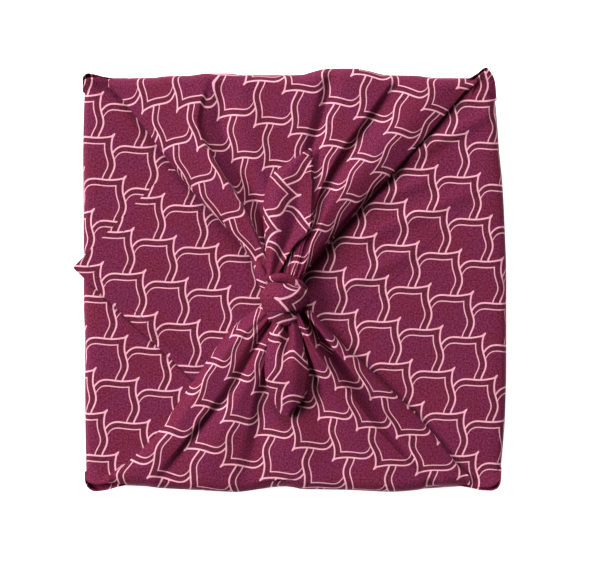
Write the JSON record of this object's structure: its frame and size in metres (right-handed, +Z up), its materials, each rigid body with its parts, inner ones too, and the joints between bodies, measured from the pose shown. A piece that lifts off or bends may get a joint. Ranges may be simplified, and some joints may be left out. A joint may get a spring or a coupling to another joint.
{
  "type": "furoshiki wrapping cloth tied round a flat square parcel",
  "caption": "Square printed cotton cloth folded round a flat square parcel, its ends gathered over the top and tied in a central reef knot with leaf-shaped tails.",
  "frame": {"origin": "middle of the outline seen from above, on the underside that rests on the surface", "axes": "+Z up through the knot; +Y towards the longer tail; +X towards the side wall of the outer side flap"},
  "size_m": [0.3194, 0.3142, 0.0529],
  "materials": {
    "plum_cotton": "plain-woven cotton, plum with a pale pink double-line print"
  },
  "bodies": {
    "root": {"furoshiki_cloth": "plum_cotton"}
  },
  "joints": []
}
